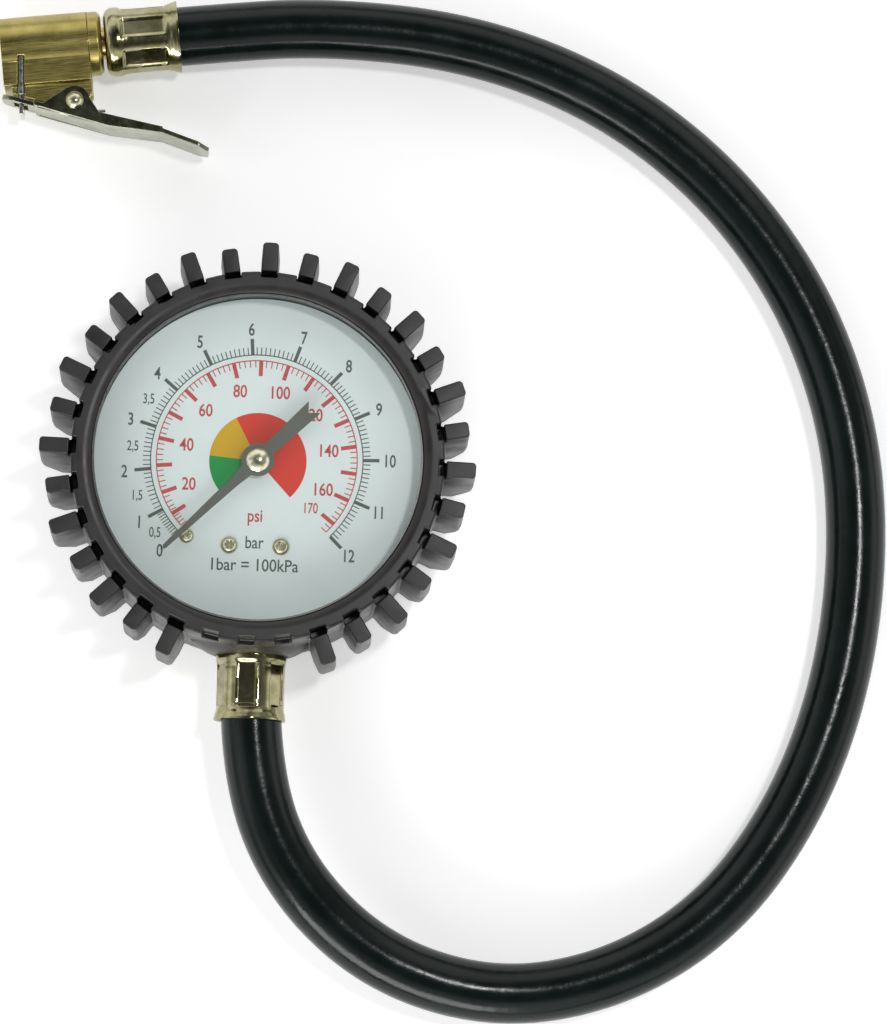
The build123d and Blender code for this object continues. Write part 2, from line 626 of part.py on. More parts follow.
def claw():
    """Sheet claw: a fork that hugs the valve, a neck through the lever's tongue, and a head."""
    outline = make_face(Polyline((0, 5.3), (-7.75, 5.3), (-7.75, 2.0), (-9.7, 2.0), (-9.7, 2.8), (-11.2, 2.8),
                                 (-11.2, -2.8), (-9.7, -2.8), (-9.7, -2.0), (-7.75, -2.0), (-7.75, -5.3),
                                 (0, -5.3), close=True))
    blade = extrude(Plane(origin=(0, 0, 0), x_dir=(0, 1, 0), z_dir=(1, 0, 0)) * outline,
                    CLAW_THICK / 2, both=True)
    return claw_frame() * blade - axial(BORE_R - 0.2, 0, 8)


def lever():
    """Bent sheet lever: web, two ears round the rivet, side walls that run out at the bend."""
    web = extrude(strip(LEVER_LINE, SHEET), LEVER_HALF_WIDTH, both=True)
    ear = make_face(Polyline((6.3, -12.7), (12.2, -9.5), (15.6, -9.8), (18.3, -14.9), (30.6, -18.9),
                             LEVER_LINE[2], LEVER_LINE[1], close=True))
    ear += Pos(RIVET_U, RIVET_V) * Circle(3.0)
    for side in (1, -1):
        plate = extrude(ear, side * SHEET)
        web += Pos(0, 0, side * (LEVER_HALF_WIDTH - SHEET)) * plate
    plan = make_face(Polyline((5.6, -LEVER_HALF_WIDTH), (37.4, -LEVER_HALF_WIDTH), (39.4, -2.6), (39.4, 2.6),
                              (37.4, LEVER_HALF_WIDTH), (5.6, LEVER_HALF_WIDTH), close=True))
    plan += fillet((Pos(2.9, 0) * Rectangle(7.4, 2 * TONGUE_HALF_WIDTH)).vertices().group_by(Axis.X)[0], 2.2)
    web = web & (Rot(90, 0, 0) * extrude(plan, 60, both=True))
    web -= Pos(2.9, -11, 0) * Box(2.6, 8, 4.6)
    return web - Pos(RIVET_U, RIVET_V, 0) * Cylinder(RIVET_HOLE_R, 20)


def lever_rivet():
    reach = LEVER_HALF_WIDTH + 0.03
    cap = dome(1.75, 1.0, reach)
    return Pos(RIVET_U, RIVET_V, 0) * (Cylinder(RIVET_R, 2 * reach) + cap + Rot(180, 0, 0) * cap)


def lever_spring():
    """Torsion spring round the rivet in the lug's slot, drawn as it sits with the lever pressed."""
    coil_r = RIVET_R + 0.15 + SPRING_WIRE_R
    step = 2 * SPRING_WIRE_R
    low = [(RIVET_U, RIVET_V - coil_r), (19.5, RIVET_V - coil_r - 0.2)]
    high = [(RIVET_U, RIVET_V + coil_r), (9.6, RIVET_V + coil_r)]
    body = Pos(RIVET_U, RIVET_V, 0) * Torus(coil_r, SPRING_WIRE_R)
    for w in (-2 * step, -step, step, 2 * step):
        body += Pos(RIVET_U, RIVET_V, w) * Torus(coil_r, SPRING_WIRE_R)
    for w, (start, end) in ((2 * step, low), (-2 * step, high)):
        way = Vector(end[0] - start[0], end[1] - start[1], 0)
        plane = Plane(origin=(start[0], start[1], w), z_dir=way)
        body += extrude(plane * Circle(SPRING_WIRE_R), way.length)
    return body


def in_chuck(shape):
    return chuck_place * shape


PARTS = {
    "rubber_boot": rubber_boot,
    "gauge_case": gauge_case,
    "bezel_ring": bezel_ring,
    "window_gasket": lambda: tube(CASE_R - 0.1, CASE_R - CASE_WALL + 0.1, CASE_RIM, GASKET_TOP),
    "window": window,
    "dial_plate": dial_plate,
    "dial_screws": dial_screws,
    "stop_pin": stop_pin,
    "pointer": pointer,
    "pointer_cap": pointer_cap,
    "pinion_arbor": pinion_arbor,
    "hairspring": hairspring,
    "sector_gear": sector_gear,
    "sector_arbor": sector_arbor,
    "sector_pin": sector_pin,
    "link": link,
    "tip_pin": tip_pin,
    "tube_tip": tube_tip,
    "bourdon_tube": bourdon_tube,
    "socket_block": socket_block,
    "restrictor_screw": restrictor_screw,
    "movement_back_plate": movement_back_plate,
    "movement_front_plate": movement_front_plate,
    "movement_pillars": movement_pillars,
    "movement_screws": movement_screws,
    "case_screws": case_screws,
    "gauge_hose_tail": lambda: gauge_end * hose_tail(),
    "gauge_ferrule": lambda: gauge_end * ferrule(),
    "hose": hose,
    "chuck_ferrule": lambda: chuck_end * ferrule(),
    "chuck_hose_tail": lambda: chuck_end * hose_tail(),
    "chuck_body": lambda: in_chuck(chuck_body()),
    "chuck_seal": lambda: in_chuck(chuck_seal()),
    "valve_depressor": lambda: in_chuck(valve_depressor()),
    "claw": lambda: in_chuck(claw()),
    "lever": lambda: in_chuck(lever()),
    "lever_rivet": lambda: in_chuck(lever_rivet()),
    "lever_spring": lambda: in_chuck(lever_spring()),
}

os.makedirs("parts", exist_ok=True)
for name, make in PARTS.items():
    shape = make()
    solids = [s for piece in (shape if isinstance(shape, list) else [shape]) for s in piece.solids()]
    export_step(Compound(children=solids) if len(solids) > 1 else solids[0], f"parts/{name}.step")
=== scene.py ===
import math

import bmesh
import bpy
from mathutils import Matrix, Vector


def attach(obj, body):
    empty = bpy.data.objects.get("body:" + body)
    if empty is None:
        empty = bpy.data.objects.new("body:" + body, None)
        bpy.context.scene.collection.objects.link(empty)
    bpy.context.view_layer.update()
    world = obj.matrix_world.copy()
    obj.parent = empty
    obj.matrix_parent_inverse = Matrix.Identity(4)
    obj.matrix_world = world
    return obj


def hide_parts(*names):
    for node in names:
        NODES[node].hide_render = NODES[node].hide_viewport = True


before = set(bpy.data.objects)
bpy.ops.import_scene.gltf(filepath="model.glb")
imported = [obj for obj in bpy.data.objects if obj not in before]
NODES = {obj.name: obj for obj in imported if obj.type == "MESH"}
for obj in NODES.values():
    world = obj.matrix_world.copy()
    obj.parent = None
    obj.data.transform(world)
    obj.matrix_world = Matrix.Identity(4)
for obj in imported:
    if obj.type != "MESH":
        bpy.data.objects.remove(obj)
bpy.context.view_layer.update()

# Tyre pressure gauge, lying face up at the origin with its stem along -Y. Sizes are in millimetres, and
# MM turns them into the CAD frame's metres. The floor and the lights are placed in metres.
MM = 0.001


# ---------------------------------------------------------------- dimensions shared by the pieces, mm
HOSE_R = 5.9
STEM_Z = 14.0
GAUGE_FERRULE_Y = -34.7
FERRULE_LENGTH = 14.8
CHUCK_ORIGIN = (-53.7, 83.0, 7.2)
CHUCK_TURN = 7.0            # degrees
CHUCK_FERRULE_U = 20.6      # along the chuck from its mouth
DIAL_FACE = 24.6


# ---------------------------------------------------------------- camera and hose come first
CAMERA_AT = (3.41, -122.1, 891.67)
CAMERA_AIM = (37.1, -5.5, 0.0)
CAMERA_UP = (-0.0279, 0.9996, 0.0)
CAMERA_LENS = 159.1


def make_camera():
    data = bpy.data.cameras.new("camera")
    data.lens = CAMERA_LENS
    data.sensor_width = 36.0
    data.clip_start, data.clip_end = 0.05, 20.0
    camera = bpy.data.objects.new("camera", data)
    back = (Vector(CAMERA_AT) - Vector(CAMERA_AIM)).normalized()
    right = Vector(CAMERA_UP).cross(back).normalized()
    up = back.cross(right)
    turn = Matrix((right, up, back)).transposed().to_4x4()
    camera.matrix_world = Matrix.Translation(Vector(CAMERA_AT) * MM) @ turn
    bpy.context.scene.collection.objects.link(camera)
    bpy.context.scene.camera = camera


# Points of the hose's centreline, from inside one ferrule to inside the other
HOSE_POINTS = [
    (0, -36.45, STEM_Z), (-0.3, -53.8, 14), (6.4, -76.6, 12.4), (24.4, -94.6, 8.6), (48.6, -101.9, 6.3),
    (72.6, -97.4, 6), (93.2, -84, 6), (107.6, -63, 6), (116.2, -39, 6), (119.4, -12, 6),
    (117, 14, 6), (107.4, 39.5, 6), (90.5, 61.8, 6), (67.5, 78.8, 6), (40, 88.6, 6.2),
    (10, 90.6, 7), (-13, 88.1, 7.2), (-31.5, 85.73, 7.2)]


def make_hose():
    curve = bpy.data.curves.new("air_hose", "CURVE")
    curve.dimensions = "3D"
    curve.resolution_u = 14
    curve.bevel_depth = 1.0
    curve.bevel_resolution = 10
    curve.use_fill_caps = True
    spline = curve.splines.new("NURBS")
    spline.points.add(len(HOSE_POINTS) - 1)
    for point, place in zip(spline.points, HOSE_POINTS):
        point.co = (place[0] * MM, place[1] * MM, place[2] * MM, 1.0)
        point.radius = HOSE_R * MM
    spline.order_u = 3
    spline.use_endpoint_u = True
    hose = bpy.data.objects.new("air_hose", curve)
    bpy.context.scene.collection.objects.link(hose)
    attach(hose, "root")
    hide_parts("hose")
    return hose


make_camera()
air_hose = make_hose()


# ---------------------------------------------------------------- materials
def set_stops(ramp_node, stops):
    elements = ramp_node.color_ramp.elements
    while len(elements) < len(stops):
        elements.new(0.5)
    for element, (place, colour) in zip(elements, stops):
        element.position = place
        element.color = (*colour, 1.0)


class Nodes:
    """A material's node tree with short calls for the few nodes used here."""

    def __init__(self, name, metallic=0.0, **constants):
        self.material = bpy.data.materials.new(name)
        self.material.use_nodes = True
        self.tree = self.material.node_tree
        self.shader = self.tree.nodes["Principled BSDF"]
        self.shader.inputs["Metallic"].default_value = metallic
        for key, value in constants.items():
            self.shader.inputs[key.replace("_", " ")].default_value = value
        self.where = self.tree.nodes.new("ShaderNodeTexCoord").outputs["Object"]

    def link(self, source, target):
        self.tree.links.new(source, target)

    def mapped(self, scale=(1, 1, 1), turn=0.0):
        """Object coordinates in millimetres, turned about z in degrees and stretched by scale."""
        node = self.tree.nodes.new("ShaderNodeMapping")
        node.vector_type = "TEXTURE"
        node.inputs["Rotation"].default_value = (0, 0, math.radians(turn))
        node.inputs["Scale"].default_value = [MM / s for s in scale]
        self.link(self.where, node.inputs["Vector"])
        return node.outputs["Vector"]

    def noise(self, vector, scale, detail, rough=0.55):
        node = self.tree.nodes.new("ShaderNodeTexNoise")
        node.inputs["Scale"].default_value = scale
        node.inputs["Detail"].default_value = detail
        node.inputs["Roughness"].default_value = rough
        self.link(vector, node.inputs["Vector"])
        return node.outputs["Fac"]

    def ramp(self, value, *stops):
        node = self.tree.nodes.new("ShaderNodeValToRGB")
        set_stops(node, stops)
        self.link(value, node.inputs["Fac"])
        return node.outputs["Color"]

    def spread(self, value, low, high):
        """Noise, which mostly lies between 0.3 and 0.7, spread over low to high."""
        node = self.tree.nodes.new("ShaderNodeMapRange")
        node.inputs["From Min"].default_value = 0.3
        node.inputs["From Max"].default_value = 0.7
        node.inputs["To Min"].default_value = low
        node.inputs["To Max"].default_value = high
        self.link(value, node.inputs["Value"])
        return node.outputs["Result"]

    def multiply(self, factor, a, b):
        node = self.tree.nodes.new("ShaderNodeMix")
        node.data_type = "RGBA"
        node.blend_type = "MULTIPLY"
        self.link(factor, node.inputs["Factor"])
        self.link(a, node.inputs["A"])
        self.link(b, node.inputs["B"])
        return node.outputs["Result"]

    def colour(self, source):
        self.link(source, self.shader.inputs["Base Color"])

    def rough(self, source):
        self.link(source, self.shader.inputs["Roughness"])

    def bump(self, source, strength, depth):
        """Bump of that depth in millimetres."""
        node = self.tree.nodes.new("ShaderNodeBump")
        node.inputs["Strength"].default_value = strength
        node.inputs["Distance"].default_value = depth * MM
        self.link(source, node.inputs["Height"])
        self.link(node.outputs["Normal"], self.shader.inputs["Normal"])


def shade(colour, factor):
    return tuple(min(1.0, c * factor) for c in colour)


def metal(name, colour, rough, grain, depth, tint=None, vary=0.2, stretch=(1, 1, 1), turn=0.0,
          lines_dark=0.78):
    """Metal with grain, mottled colour and uneven polish.

    grain and depth are the scale and bump of the grain, which stretch and turn draw out into lines.
    tint is the colour of the lighter patches. lines_dark is the brightness of the grain's dark lines,
    1 being no darker than the rest.
    """
    m = Nodes(name, metallic=1.0)
    lines = m.noise(m.mapped(stretch, turn), grain, 5.0, 0.6)
    patches = m.noise(m.mapped(), 0.28, 3.0, 0.6)
    base = m.ramp(patches, (0.3, shade(colour, 1 - vary)), (0.7, shade(tint or colour, 1 + vary * 0.6)))
    streak = m.ramp(lines, (0.25, (lines_dark,) * 3), (0.75, (1.0, 1.0, 1.0)))
    m.colour(m.multiply(m.spread(patches, 0.5, 0.9), base, streak))
    m.rough(m.spread(lines, rough * 0.75, rough * 1.35))
    m.bump(lines, 0.35, depth)
    return m.material


def rubber(name, colour, rough, grain, depth, **constants):
    """Moulded rubber: fine grain, a little dust and patchy gloss."""
    m = Nodes(name, **constants)
    fine = m.noise(m.mapped(), grain, 4.0, 0.6)
    broad = m.noise(m.mapped(), 0.16, 4.0, 0.6)
    m.colour(m.ramp(broad, (0.3, shade(colour, 0.82)), (0.72, shade(colour, 1.25))))
    m.rough(m.spread(broad, rough * 0.8, rough * 1.25))
    m.bump(fine, 0.3, depth)
    return m.material


def painted(name, colour, rough, speck=0.06, **constants):
    """Even paint or print with faint mottling and a fine texture."""
    m = Nodes(name, **constants)
    fine = m.noise(m.mapped(), 3.0, 3.0, 0.5)
    broad = m.noise(m.mapped(), 0.12, 3.0, 0.5)
    m.colour(m.ramp(broad, (0.3, shade(colour, 1 - speck)), (0.7, shade(colour, 1 + speck))))
    m.rough(m.spread(fine, rough * 0.85, rough * 1.15))
    m.bump(fine, 0.12, 0.004)
    return m.material


BOOT = rubber("boot_rubber", (0.015, 0.0134, 0.0128), 0.38, 2.6, 0.02)
HOSE = rubber("hose_rubber", (0.003, 0.006, 0.0055), 0.19, 0.35, 0.22, Specular_IOR_Level=0.24)
SEAL = rubber("seal_rubber", (0.02, 0.02, 0.02), 0.55, 2.0, 0.02)
GASKET = rubber("gasket", (0.7, 0.7, 0.66), 0.5, 2.0, 0.02)
CASE = painted("case_paint", (0.028, 0.028, 0.03), 0.38)
ZINC = metal("yellow_zinc", (0.31, 0.295, 0.135), 0.14, 0.9, 0.008, (0.44, 0.42, 0.26))
LEVER = metal("lever_zinc", (0.26, 0.27, 0.18), 0.16, 0.7, 0.006, (0.38, 0.39, 0.27), 0.16)
SCREW = metal("screw_zinc", (0.62, 0.58, 0.36), 0.2, 1.5, 0.006, (0.7, 0.68, 0.5), 0.15)
STEEL = metal("steel", (0.62, 0.62, 0.60), 0.22, 1.2, 0.004, vary=0.08)
SPRING = metal("spring_steel", (0.5, 0.5, 0.5), 0.25, 1.2, 0.004, vary=0.1)
BRONZE = metal("spring_bronze", (0.55, 0.33, 0.18), 0.28, 1.0, 0.004, vary=0.1)
BRASS = metal("brass", (0.66, 0.50, 0.22), 0.25, 1.2, 0.006, vary=0.1)
CAP = metal("cap_brass", (0.76, 0.72, 0.50), 0.2, 1.2, 0.004, vary=0.08)
CHUCK = metal("chuck_brass", (0.36, 0.30, 0.085), 0.28, 4.0, 0.002, (0.44, 0.37, 0.13), 0.12,
              stretch=(0.05, 1.6, 1.6), turn=CHUCK_TURN, lines_dark=0.88)
BEZEL = metal("bezel_plate", (0.16, 0.165, 0.155), 0.34, 0.8, 0.004, vary=0.1)
POINTER = painted("pointer_paint", (0.088, 0.09, 0.076), 0.4, Specular_IOR_Level=0.3)
DIAL = painted("dial_white", (0.68, 0.77, 0.755), 0.5, 0.02)
INK = painted("ink_black", (0.085, 0.10, 0.09), 0.5, Specular_IOR_Level=0.25)
RED_INK = painted("ink_red", (0.50, 0.06, 0.065), 0.5, Specular_IOR_Level=0.25)
RED_ZONE = painted("zone_red", (0.63, 0.035, 0.018), 0.5, 0.03, Specular_IOR_Level=0.15)
YELLOW_ZONE = painted("zone_yellow", (0.58, 0.35, 0.003), 0.5, 0.03, Specular_IOR_Level=0.15)
GREEN_ZONE = painted("zone_green", (0.003, 0.27, 0.045), 0.5, 0.03, Specular_IOR_Level=0.15)


def lens_material():
    m = Nodes("lens", IOR=1.49, Alpha=0.025)
    haze = m.noise(m.mapped(), 0.08, 2.0, 0.5)
    m.colour(m.ramp(haze, (0.3, (0.52, 0.70, 0.62)), (0.7, (0.66, 0.80, 0.74))))
    m.rough(m.spread(haze, 0.05, 0.09))
    return m.material


LENS = lens_material()

FINISHES = {
    "rubber_boot": BOOT, "gauge_case": CASE, "bezel_ring": BEZEL, "window_gasket": GASKET,
    "window": LENS, "dial_plate": DIAL, "dial_screws": SCREW, "stop_pin": SCREW, "pointer": POINTER,
    "pointer_cap": CAP, "pinion_arbor": STEEL, "hairspring": BRONZE, "sector_gear": BRASS,
    "sector_arbor": STEEL, "sector_pin": STEEL, "link": BRASS, "tip_pin": STEEL, "tube_tip": BRASS,
    "bourdon_tube": BRONZE, "socket_block": BRASS, "restrictor_screw": BRASS,
    "movement_back_plate": BRASS, "movement_front_plate": BRASS, "movement_pillars": BRASS,
    "movement_screws": STEEL, "case_screws": SCREW, "gauge_hose_tail": BRASS, "gauge_ferrule": ZINC,
    "hose": HOSE, "chuck_ferrule": ZINC, "chuck_hose_tail": BRASS, "chuck_body": CHUCK,
    "chuck_seal": SEAL, "valve_depressor": BRASS, "claw": STEEL, "lever": LEVER,
    "lever_rivet": SCREW, "lever_spring": SPRING}

for name, finish in FINISHES.items():
    node = NODES[name]
    if not node.data.materials:
        node.data.materials.append(finish)
    for place in node.material_slots:
        place.link = "OBJECT"
        place.material = finish
air_hose.data.materials.append(HOSE)


# ---------------------------------------------------------------- mesh helpers
def clock(radius, degrees):
    """Point at a radius and a clockwise angle from the dial's top."""
    turn = math.radians(90 - degrees)
    return radius * math.cos(turn), radius * math.sin(turn)


def finish_piece(name, bm, material, body, smooth_angle=32.0):
    """Turns a bmesh in the CAD frame's metres into a shown piece."""
    bmesh.ops.recalc_face_normals(bm, faces=bm.faces)
    mesh = bpy.data.meshes.new(name)
    bm.to_mesh(mesh)
    bm.free()
    for face in mesh.polygons:
        face.use_smooth = True
    mesh.set_sharp_from_angle(angle=math.radians(smooth_angle))
    mesh.materials.append(material)
    piece = bpy.data.objects.new(name, mesh)
    bpy.context.scene.collection.objects.link(piece)
    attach(piece, body)
    return piece


def flatten_shading(piece):
    """Weights the normals by face area, so that wide faces stay flat beside rounded corners."""
    weights = piece.modifiers.new("weights", "WEIGHTED_NORMAL")
    weights.mode = "FACE_AREA"
    weights.keep_sharp = True
    weights.weight = 90
    graph = bpy.context.evaluated_depsgraph_get()
    mesh = bpy.data.meshes.new_from_object(piece.evaluated_get(graph))
    piece.modifiers.clear()
    piece.data = mesh


MERGE = 2e-6                # metres; vertices closer than this are one
FLAT_ANGLE = 0.4            # degrees; faces that meet at less are joined into one flat
CORNER_ANGLE = 30.0         # degrees; edges sharper than this are rounded


def softened(node, name, material, body, width):
    """Copy of a CAD node with its corners rounded, shown in its place."""
    bm = bmesh.new()
    bm.from_mesh(NODES[node].data)
    bmesh.ops.remove_doubles(bm, verts=bm.verts, dist=MERGE)
    bmesh.ops.dissolve_limit(bm, angle_limit=math.radians(FLAT_ANGLE), verts=bm.verts, edges=bm.edges)
    corners = [e for e in bm.edges if len(e.link_faces) == 2
               and e.calc_face_angle(0.0) > math.radians(CORNER_ANGLE)]
    bmesh.ops.bevel(bm, geom=corners, offset=width * MM, offset_type="OFFSET", segments=2,
                    profile=0.5, affect="EDGES", clamp_overlap=False)
    bmesh.ops.remove_doubles(bm, verts=bm.verts, dist=MERGE)
    piece = finish_piece(name, bm, material, body, 38.0)
    flatten_shading(piece)
    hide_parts(node)
    return piece


def prism(bm, points, low, high):
    """Closed prism over a plan polygon."""
    bottom = [bm.verts.new((x * MM, y * MM, low * MM)) for x, y in points]
    top = [bm.verts.new((x * MM, y * MM, high * MM)) for x, y in points]
    bm.faces.new(list(reversed(bottom)))
    bm.faces.new(top)
    for i in range(len(points)):
        j = (i + 1) % len(points)
        bm.faces.new((bottom[i], bottom[j], top[j], top[i]))


ARC_STEP = 1.5              # degrees


def ring_arc(bm, inner, outer, start, end, low, high):
    """Curved bar between two clockwise angles, in short straight prisms."""
    count = max(2, math.ceil((end - start) / ARC_STEP))
    angles = [start + (end - start) * i / count for i in range(count + 1)]
    rows = []
    for angle in angles:
        rows.append([bm.verts.new((x * MM, y * MM, z * MM)) for (x, y), z in (
            (clock(inner, angle), low), (clock(outer, angle), low),
            (clock(outer, angle), high), (clock(inner, angle), high))])
    for a, b in zip(rows, rows[1:]):
        for k in range(4):
            bm.faces.new((a[k], a[(k + 1) % 4], b[(k + 1) % 4], b[k]))
    bm.faces.new(rows[0])
    bm.faces.new(list(reversed(rows[-1])))


# ---------------------------------------------------------------- dial print
PRINT = (DIAL_FACE - 0.01, DIAL_FACE + 0.03)      # heights of the ink's back and front
SCALE_START = -135.0                              # clockwise angle of the zero
ONE_BAR = -119.8
DEGREES_PER_BAR = 23.145
NUMERAL_HEIGHT = 0.729                            # of the built-in face, at size 1
PRINT_SHIFT = Vector((-0.2, 0.25, 0.0)) * MM      # the print sits a little off the dial's centre
FULL_SCALE = 12
PSI_PER_BAR = 14.504

# Radii of the two scales: the ring, the ticks' two ends, and the numerals' middles
BAR_RING = (20.42, 20.62)
BAR_FINE_TICK = (20.6, 22.0)
BAR_BOLD_TICK = (20.6, 23.7)
BAR_NUMERALS = 25.65
HALF_BAR_NUMERALS = 24.1
PSI_RING = (19.3, 19.5)
PSI_FINE_TICK = (18.1, 19.32)
PSI_BOLD_TICK = (16.4, 19.32)
PSI_NUMERALS = 13.9
ZONE_RING = (2.0, 9.4)

FINE_WIDTH = 0.19
BAR_BOLD_WIDTH = 0.66
PSI_BOLD_WIDTH = 0.76

# Lettering: height of a numeral, width against the built-in face, thickening of the strokes
BAR_LETTERS = (2.5, 0.74, 0.014)
HALF_BAR_LETTERS = (2.05, 0.68, 0.006)
PSI_LETTERS = (2.5, 0.8, 0.014)
LAST_PSI_LETTERS = (2.1, 0.7, 0.008)
BAR_WORD = (2.5, 0.8, 0.008)
PSI_WORD = (2.5, 0.8, 0.012)
KPA_LINE = (2.45, 0.88, 0.008)


def bar_angle(bar):
    """Clockwise angle of a reading; the scale is closed up below 1 bar."""
    if bar < 1:
        return SCALE_START + (ONE_BAR - SCALE_START) * bar
    return ONE_BAR + DEGREES_PER_BAR * (bar - 1)


def tick(bm, inner, outer, angle, width):
    turn = math.radians(90 - angle)
    along = Vector((math.cos(turn), math.sin(turn)))
    side = Vector((-along.y, along.x)) * (width / 2)
    corners = [along * inner - side, along * outer - side, along * outer + side, along * inner + side]
    prism(bm, [tuple(c) for c in corners], *PRINT)


def lettering(bm, text, x, y, height, narrow, bold):
    """Upright text centred at x, y."""
    curve = bpy.data.curves.new("text", "FONT")
    curve.body = text
    curve.align_x = "CENTER"
    curve.extrude = 0.02
    curve.offset = bold
    curve.resolution_u = 4
    holder = bpy.data.objects.new("text", curve)
    mesh = bpy.data.meshes.new_from_object(holder)
    size = height / NUMERAL_HEIGHT * MM
    place = Matrix.Translation((x * MM, (y - height / 2) * MM, (DIAL_FACE + 0.01) * MM))
    mesh.transform(place @ Matrix.Diagonal((size * narrow, size, MM, 1.0)))
    bm.from_mesh(mesh)
    bpy.data.objects.remove(holder)
    bpy.data.meshes.remove(mesh)
    bpy.data.curves.remove(curve)


def dial_print():
    black = bmesh.new()
    ring_arc(black, *BAR_RING, bar_angle(0), bar_angle(FULL_SCALE), *PRINT)
    for tenth in range(10 * FULL_SCALE + 1):
        angle = bar_angle(tenth / 10)
        if tenth % 10 == 0:
            tick(black, *BAR_BOLD_TICK, angle, BAR_BOLD_WIDTH)
        else:
            tick(black, *BAR_FINE_TICK, angle, FINE_WIDTH)
    for bar in range(FULL_SCALE + 1):
        lettering(black, str(bar), *clock(BAR_NUMERALS, bar_angle(bar)), *BAR_LETTERS)
    for bar in (0.5, 1.5, 2.5, 3.5):
        text = str(bar).replace(".", ",")
        lettering(black, text, *clock(HALF_BAR_NUMERALS, bar_angle(bar)), *HALF_BAR_LETTERS)
    lettering(black, "bar", 0, -16.0, *BAR_WORD)
    lettering(black, "1bar = 100kPa", 0, -20.4, *KPA_LINE)
    bmesh.ops.translate(black, vec=PRINT_SHIFT, verts=black.verts)
    finish_piece("dial_print_black", black, INK, "root")

    red = bmesh.new()
    top = FULL_SCALE * PSI_PER_BAR
    ring_arc(red, *PSI_RING, bar_angle(2 / PSI_PER_BAR), bar_angle(FULL_SCALE), *PRINT)
    for psi in range(2, int(top) + 1, 2):
        angle = bar_angle(psi / PSI_PER_BAR)
        if psi % 10 == 0:
            tick(red, *PSI_BOLD_TICK, angle, PSI_BOLD_WIDTH)
        else:
            tick(red, *PSI_FINE_TICK, angle, FINE_WIDTH)
    for psi in range(20, 161, 20):
        lettering(red, str(psi), *clock(PSI_NUMERALS, bar_angle(psi / PSI_PER_BAR)), *PSI_LETTERS)
    # The last numeral stands two degrees on from its tick, clear of 160
    lettering(red, "170", *clock(PSI_NUMERALS, bar_angle(170 / PSI_PER_BAR) + 2), *LAST_PSI_LETTERS)
    lettering(red, "psi", 0, -10.8, *PSI_WORD)
    bmesh.ops.translate(red, vec=PRINT_SHIFT, verts=red.verts)
    finish_piece("dial_print_red", red, RED_INK, "root")

    for name, start, end, material in (
            ("dial_zone_green", SCALE_START, -85, GREEN_ZONE), ("dial_zone_yellow", -85, -28, YELLOW_ZONE),
            ("dial_zone_red", -28, 137, RED_ZONE)):
        zone = bmesh.new()
        ring_arc(zone, *ZONE_RING, start, end, *PRINT)
        finish_piece(name, zone, material, "root")


dial_print()


# ---------------------------------------------------------------- gauge head
softened("rubber_boot", "boot", BOOT, "root", 0.3)
softened("pointer", "pointer_blade", POINTER, "pointer_body", 0.07)


# ---------------------------------------------------------------- ferrules
# Outline: distance from the closed end, radius
FERRULE_LINE = [
    (0.0, 5.3), (0.15, 5.9), (0.5, 6.45), (1.0, 6.8), (1.6, 6.95), (2.4, 6.97), (3.1, 6.88),
    (3.8, 6.68), (4.6, 6.6), (8.0, 6.54), (11.6, 6.56), (12.4, 6.62), (13.0, 6.72), (13.6, 6.92),
    (14.1, 7.02), (14.6, 7.14), (FERRULE_LENGTH, 7.12)]
# Mouth and bore, back to the closed end
FERRULE_INSIDE = [
    (14.75, 6.95), (14.4, 6.5), (13.6, 6.0), (12.0, 5.93), (1.0, 5.93), (0.95, 3.35), (0.0, 3.35)]
FERRULE_STEPS = 120         # round the sleeve
RING_GAP = 0.25             # along it
PANELS = 6
PANEL_FLAT = 6.12           # half the distance across the sunk panels
PANEL_SIDE = (15.0, 18.6)   # degrees from a panel's middle over which it fades out
PANEL_NEAR = (3.2, 4.0)     # distances from the closed end over which it sinks
PANEL_FAR = (11.7, 12.5)    # and over which it rises again
RIDGE = 0.07                # rise of the metal between the panels
LIP_START = (13.2, 14.6)    # distances over which the lip's wave grows
LIP_WAVE = 0.088
INSET = 0.04                # the crimped surface lies this far inside the outline


def smooth_step(low, high, value):
    t = max(0.0, min(1.0, (value - low) / (high - low)))
    return t * t * (3 - 2 * t)


def ferrule_radius(u, line_r, angle):
    """Crimped sleeve: six sunk panels with round edges, and a wavy flared lip."""
    within = (angle * PANELS / 360.0) % 1.0
    offset = abs(within - 0.5) * 360.0 / PANELS
    across = 1 - smooth_step(*PANEL_SIDE, offset)
    along = smooth_step(*PANEL_NEAR, u) * (1 - smooth_step(*PANEL_FAR, u))
    sunk = min(line_r, PANEL_FLAT / math.cos(math.radians(offset)))
    wave = LIP_WAVE * smooth_step(*LIP_START, u) * math.cos(math.radians(angle * PANELS))
    ridge = RIDGE * (1 - across) * along
    return line_r + (sunk - line_r) * across * along - wave + ridge - INSET


